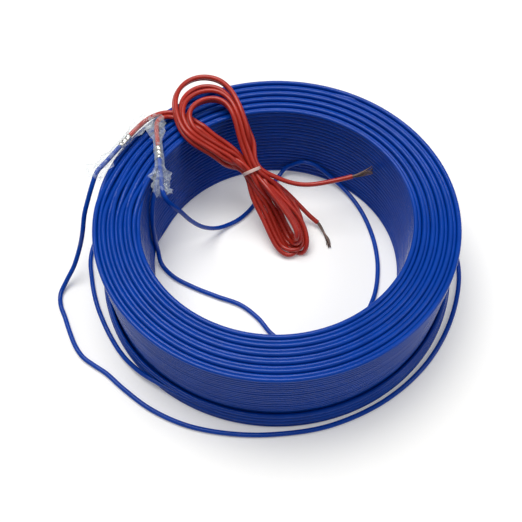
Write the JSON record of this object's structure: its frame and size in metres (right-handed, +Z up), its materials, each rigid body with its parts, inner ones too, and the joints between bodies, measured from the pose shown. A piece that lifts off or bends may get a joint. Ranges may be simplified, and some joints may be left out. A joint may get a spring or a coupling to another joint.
{
  "type": "soil heating cable roll",
  "caption": "Flat coil of blue insulated heating wire with a splice at each end and two red supply leads folded into a tied hank.",
  "frame": {"origin": "on the floor at the coil's axis", "axes": "+Z up along the coil's axis; +X to the right and +Y away from the viewer in the picture"},
  "size_m": [0.1945, 0.1774, 0.0518],
  "materials": {
    "blue_insulation": "smooth semi-gloss PVC",
    "red_insulation": "smooth semi-gloss PVC",
    "clear_sleeve": "clear crumpled plastic film",
    "tinned_barrel": "tinned metal",
    "bare_copper": "dull tinned copper strands",
    "tie_plastic": "translucent plastic strip"
  },
  "bodies": {
    "root": {"heating_cable_coil": "blue_insulation", "loose_turns": "blue_insulation", "outer_tail": "blue_insulation", "inner_tail": "blue_insulation", "outer_splice_sleeve": "clear_sleeve", "inner_splice_sleeve": "clear_sleeve", "outer_splice_crimp": "tinned_barrel", "inner_splice_crimp": "tinned_barrel", "outer_lead": "red_insulation", "inner_lead": "red_insulation", "lead_hank": "red_insulation", "long_free_end": "red_insulation", "short_free_end": "red_insulation", "hank_tie": "tie_plastic", "fanned_strands": "bare_copper", "twisted_strands": "bare_copper"}
  },
  "joints": []
}
